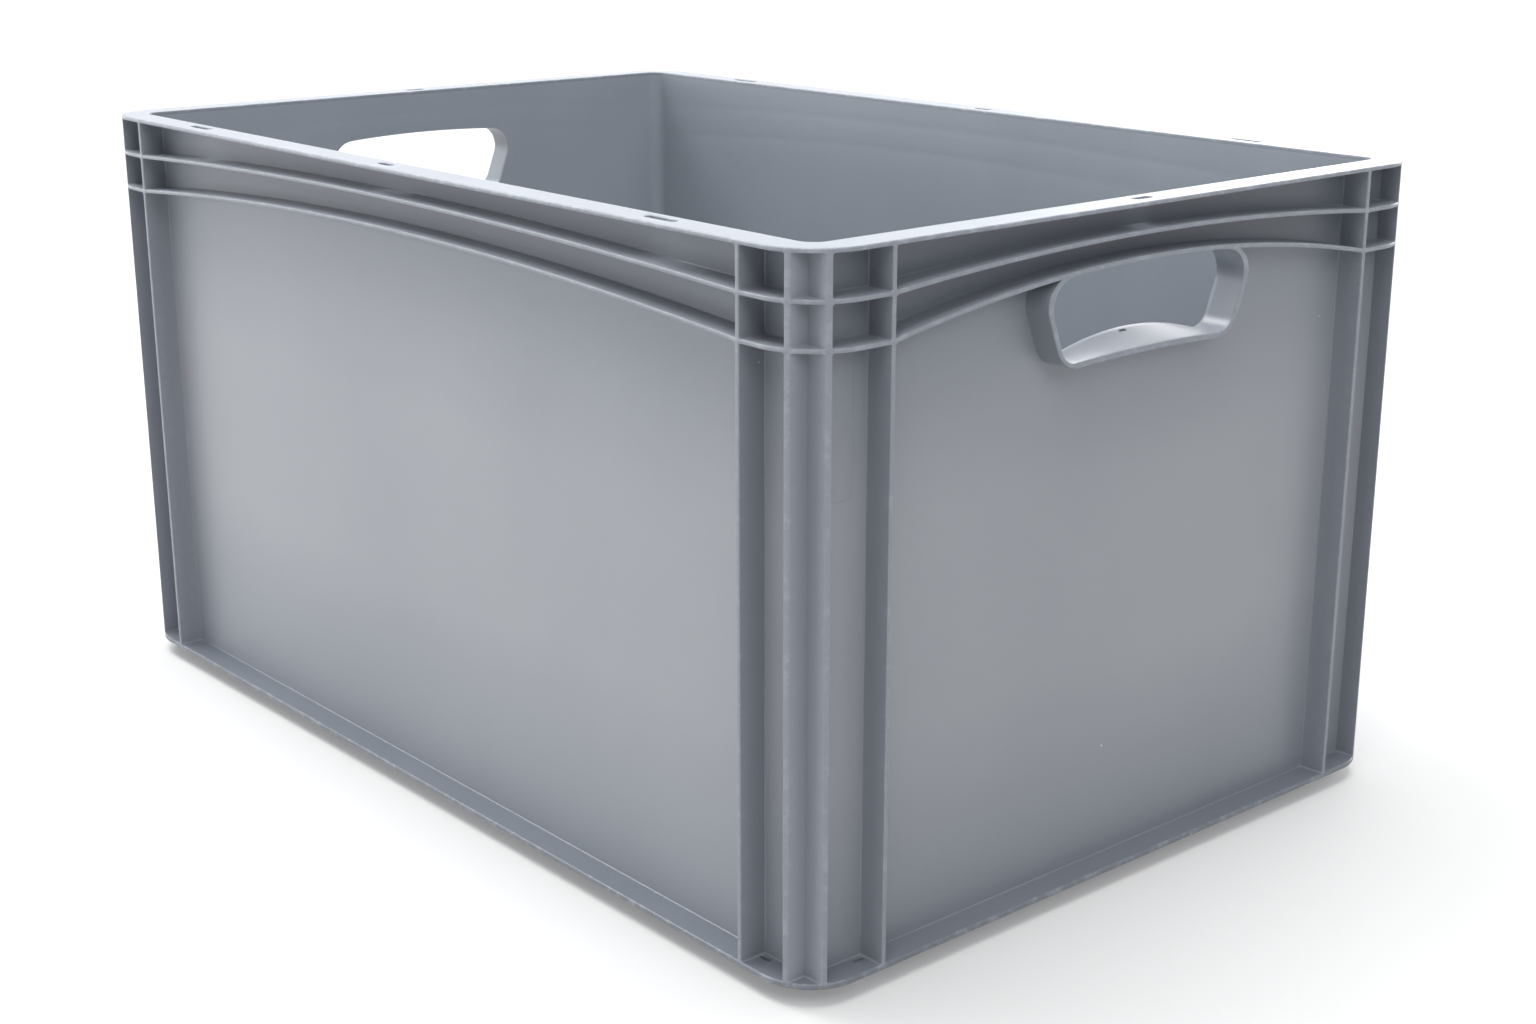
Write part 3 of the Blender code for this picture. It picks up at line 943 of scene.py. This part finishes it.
def build():
    ribbed = polypropylene("polypropylene_rib", LIGHT_SCUFFS)
    # The panels carry painted light in a belt half way up and painted shade towards the rim
    panel = polypropylene("polypropylene_panel", LIGHT_SCUFFS, painted_light=PANEL_PAINTED_LIGHT)
    # Darker copy of the plastic: painted shade on the base flange and foot
    base = polypropylene("polypropylene_base", BASE_SCUFFS, BASE_SHADED_DARK, BASE_SHADED_LIGHT)
    handled = polypropylene("polypropylene_handled", HANDLED_SCUFFS)
    # Lighter copy of the plastic: painted light on the inside faces and the floor panel
    inside = polypropylene("polypropylene_inside", LIGHT_SCUFFS, INSIDE_LIT_DARK, INSIDE_LIT_LIGHT)
    floor_panel(inside)
    for side, after in zip(SIDES, SIDES[1:] + SIDES[:1]):
        foot_rail(side, base)
        base_flange(side, base)
        wall(side, panel, inside)
        rim(side, handled)
        for name in ("upper", "lower"):
            side_ring(side, name, ribbed)
            corner_ring(side, after, name, ribbed)
        for hand, sign in (("left", -1), ("right", 1)):
            outer, corner = sign * side.rib, sign * side.corner_rib
            rib(side, f"{side.name}_outer_rib_{hand}", outer, OUTER_RIB_HALF, WALL_DEPTH, ribbed)
            rib(side, f"{side.name}_corner_rib_{hand}", corner, CORNER_RIB_HALF, CORNER_RIB_ROOT, ribbed)
        if side.has_grip:
            grip_collar(side, ribbed)


# Floor, light and camera

def stage_floor():
    mesh = bpy.data.meshes.new("studio_floor")
    corners = [(x * FLOOR_SIZE, y * FLOOR_SIZE, 0) for x, y in ((-1, -1), (1, -1), (1, 1), (-1, 1))]
    mesh.from_pydata(corners, [], [(0, 1, 2, 3)])
    item = thing("studio_floor", mesh)
    item.location.z = -FLOOR_DROP
    material = bpy.data.materials.new("studio_floor_paint")
    material.use_nodes = True
    tree = material.node_tree
    shader = tree.nodes["Principled BSDF"]
    shader.inputs["Base Color"].default_value = FLOOR_COLOUR
    shader.inputs["Roughness"].default_value = FLOOR_ROUGHNESS
    shader.inputs["Specular IOR Level"].default_value = 0.0
    shader.inputs["Emission Color"].default_value = WHITE
    coords = tree.nodes.new("ShaderNodeTexCoord")
    distance = tree.nodes.new("ShaderNodeVectorMath")
    distance.operation = "LENGTH"
    tree.links.new(coords.outputs["Object"], distance.inputs[0])
    glow = tree.nodes.new("ShaderNodeMapRange")
    set_range(glow, *FLOOR_GLOW_DISTANCES, *FLOOR_GLOWS)
    tree.links.new(distance.outputs["Value"], glow.inputs["Value"])
    tree.links.new(glow.outputs["Result"], shader.inputs["Emission Strength"])
    mesh.materials.append(material)


def area_light(name, place, aim, size, power):
    data = bpy.data.lights.new(name, "AREA")
    data.shape = "RECTANGLE"
    data.size, data.size_y = size
    data.energy = power
    item = bpy.data.objects.new(name, data)
    item.location = place
    item.rotation_euler = (Vector(aim) - Vector(place)).to_track_quat("-Z", "Y").to_euler()
    bpy.context.scene.collection.objects.link(item)


def sky():
    """An even studio surround, paler in a band at the horizon."""
    world = bpy.data.worlds.new("studio")
    bpy.context.scene.world = world
    world.use_nodes = True
    tree = world.node_tree
    coords = tree.nodes.new("ShaderNodeTexCoord")
    split = tree.nodes.new("ShaderNodeSeparateXYZ")
    height = tree.nodes.new("ShaderNodeMapRange")
    set_range(height, *SKY_HEIGHTS, *SKY_GLOWS)
    tree.links.new(coords.outputs["Generated"], split.inputs["Vector"])
    tree.links.new(split.outputs["Z"], height.inputs["Value"])
    tree.links.new(height.outputs["Result"], tree.nodes["Background"].inputs["Strength"])
    tree.nodes["Background"].inputs["Color"].default_value = SKY_TINT


def lights():
    sky()
    for softbox in SOFTBOXES:
        area_light(*softbox)


def camera():
    data = bpy.data.cameras.new("camera")
    data.lens = LENS
    data.sensor_width = SENSOR_WIDTH
    data.clip_start = CLIP_START
    data.clip_end = CLIP_END
    item = bpy.data.objects.new("camera", data)
    item.location = CAMERA_PLACE
    item.rotation_euler = (pi / 2 - CAMERA_DOWN, 0.0, CAMERA_HEADING)
    bpy.context.scene.collection.objects.link(item)
    bpy.context.scene.camera = item
    bpy.context.scene.view_settings.view_transform = "Standard"


camera()
build()
stage_floor()
lights()
